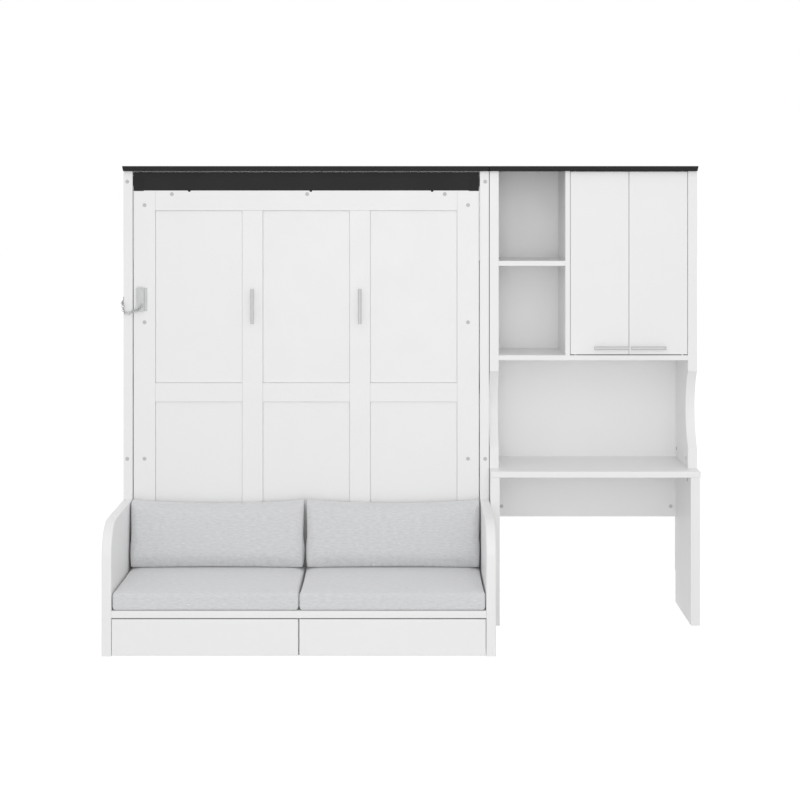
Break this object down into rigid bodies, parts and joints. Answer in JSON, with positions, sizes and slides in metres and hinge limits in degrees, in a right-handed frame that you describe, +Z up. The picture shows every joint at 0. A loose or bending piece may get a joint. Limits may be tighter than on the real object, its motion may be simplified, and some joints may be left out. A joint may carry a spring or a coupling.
{
  "type": "wall bed with sofa",
  "caption": "Folding wall bed in a white cabinet with black top, a sofa with drawers in front, and a desk with hutch, shelves and cupboard beside it.",
  "frame": {"origin": "on the floor, under the middle of the whole piece", "axes": "+X to the right along the wall, +Y from the room to the wall, +Z up"},
  "size_m": [2.7816, 1.04, 2.194],
  "materials": {
    "white_board": "satin white lacquer on board",
    "black_board": "matte black lacquer on board",
    "natural_wood": "plain laminated birch, clear matt",
    "cushion_cloth": "pale grey heather weave",
    "mattress_cloth": "off-white quilted knit",
    "strap_web": "black elastic webbing",
    "brushed_metal": "brushed nickel",
    "black_steel": "matte black powder coat",
    "zinc_steel": "zinc plated",
    "strut_paint": "satin black",
    "rod_chrome": "polished",
    "grey_cap": "pale grey"
  },
  "bodies": {
    "frame": {"cabinet_side_left": "white_board", "cabinet_side_right": "white_board", "cabinet_top": "black_board", "cabinet_rails": "white_board", "mechanism_plates": "zinc_steel", "cover_caps": "grey_cap", "safety_chain": "brushed_metal", "sofa_arm_left": "white_board", "sofa_arm_right": "white_board", "seat_rail": "white_board", "seat_board": "white_board", "sofa_back_board": "white_board", "sofa_divider": "white_board", "seat_cushion_left": "cushion_cloth", "seat_cushion_right": "cushion_cloth", "back_cushion_left": "cushion_cloth", "back_cushion_right": "cushion_cloth", "drawer_runners": "zinc_steel", "desk_leg_left": "white_board", "desk_leg_right": "white_board", "desk_top": "white_board", "desk_back_board": "white_board", "hutch_side_left": "white_board", "hutch_side_right": "white_board", "hutch_top": "black_board", "hutch_bottom": "white_board", "hutch_back": "white_board", "hutch_partition": "white_board", "open_shelf": "white_board", "inner_shelf": "white_board", "door_pins": "zinc_steel"},
    "bed": {"bed_panel": "white_board", "front_stiles": "white_board", "front_rails": "white_board", "foot_strip": "black_board", "foot_end_fittings": "black_steel", "bed_side_rails": "white_board", "bed_end_boards": "white_board", "slat_bearers": "natural_wood", "bed_slats": "natural_wood", "mattress": "mattress_cloth", "mattress_straps": "strap_web", "bed_pivot_plates": "zinc_steel", "bed_handles": "brushed_metal", "front_caps": "grey_cap", "lock_plate": "brushed_metal"},
    "foot_leg_left": {"foot_leg_left": "zinc_steel"},
    "strut_barrel_left": {"strut_barrel_left": "strut_paint"},
    "strut_rod_left": {"strut_rod_left": "rod_chrome"},
    "drawer_left": {"drawer_front_left": "white_board", "drawer_tray_left": "white_board"},
    "door_left": {"cupboard_door_left": "white_board", "door_handle_left": "brushed_metal"},
    "foot_leg_right": {"foot_leg_right": "zinc_steel"},
    "strut_barrel_right": {"strut_barrel_right": "strut_paint"},
    "strut_rod_right": {"strut_rod_right": "rod_chrome"},
    "drawer_right": {"drawer_front_right": "white_board", "drawer_tray_right": "white_board"},
    "door_right": {"cupboard_door_right": "white_board", "door_handle_right": "brushed_metal"}
  },
  "joints": [
    {"name": "bed_fold", "type": "hinge", "parent": "frame", "child": "bed", "pos_m": [-0.497, 0.15, 0.37], "axis": [1, 0, 0], "range_deg": [0, 90], "deforming": ["back_cushion_left", "back_cushion_right"]},
    {"name": "foot_leg_left_swing", "type": "hinge", "parent": "bed", "child": "foot_leg_left", "pos_m": [-1.3315, 0.13, 2.09], "axis": [-1, 0, 0], "range_deg": [0, 90]},
    {"name": "strut_barrel_left_swing", "type": "hinge", "parent": "frame", "child": "strut_barrel_left", "pos_m": [-1.313, 0.41, 0.9], "axis": [1, 0, 0], "range_deg": [0, 4.52]},
    {"name": "strut_rod_left_slide", "type": "slide", "parent": "strut_barrel_left", "child": "strut_rod_left", "axis": [0, 0.2141, 0.9768], "range_m": [0, 0.3137]},
    {"name": "drawer_left_slide", "type": "slide", "parent": "frame", "child": "drawer_left", "axis": [0, -1, 0], "range_m": [0, 0.42]},
    {"name": "foot_leg_right_swing", "type": "hinge", "parent": "bed", "child": "foot_leg_right", "pos_m": [0.3375, 0.13, 2.09], "axis": [-1, 0, 0], "range_deg": [0, 90]},
    {"name": "strut_barrel_right_swing", "type": "hinge", "parent": "frame", "child": "strut_barrel_right", "pos_m": [0.319, 0.41, 0.9], "axis": [1, 0, 0], "range_deg": [0, 4.52]},
    {"name": "strut_rod_right_slide", "type": "slide", "parent": "strut_barrel_right", "child": "strut_rod_right", "axis": [0, 0.2141, 0.9768], "range_m": [0, 0.3137]},
    {"name": "drawer_right_slide", "type": "slide", "parent": "frame", "child": "drawer_right", "axis": [0, -1, 0], "range_m": [0, 0.42]},
    {"name": "door_left_swing", "type": "hinge", "parent": "frame", "child": "door_left", "pos_m": [0.801, 0.121, 1.282], "axis": [0, 0, -1], "range_deg": [0, 105]},
    {"name": "door_right_swing", "type": "hinge", "parent": "frame", "child": "door_right", "pos_m": [1.317, 0.121, 1.282], "axis": [0, 0, 1], "range_deg": [0, 105]}
  ],
  "couplings": [
    {"joint": "strut_barrel_left_swing", "follows": "bed_fold", "ratio": 0.0491},
    {"joint": "strut_rod_left_slide", "follows": "bed_fold", "m_per_rad": 0.19937},
    {"joint": "strut_barrel_right_swing", "follows": "bed_fold", "ratio": 0.0491},
    {"joint": "strut_rod_right_slide", "follows": "bed_fold", "m_per_rad": 0.19937}
  ]
}
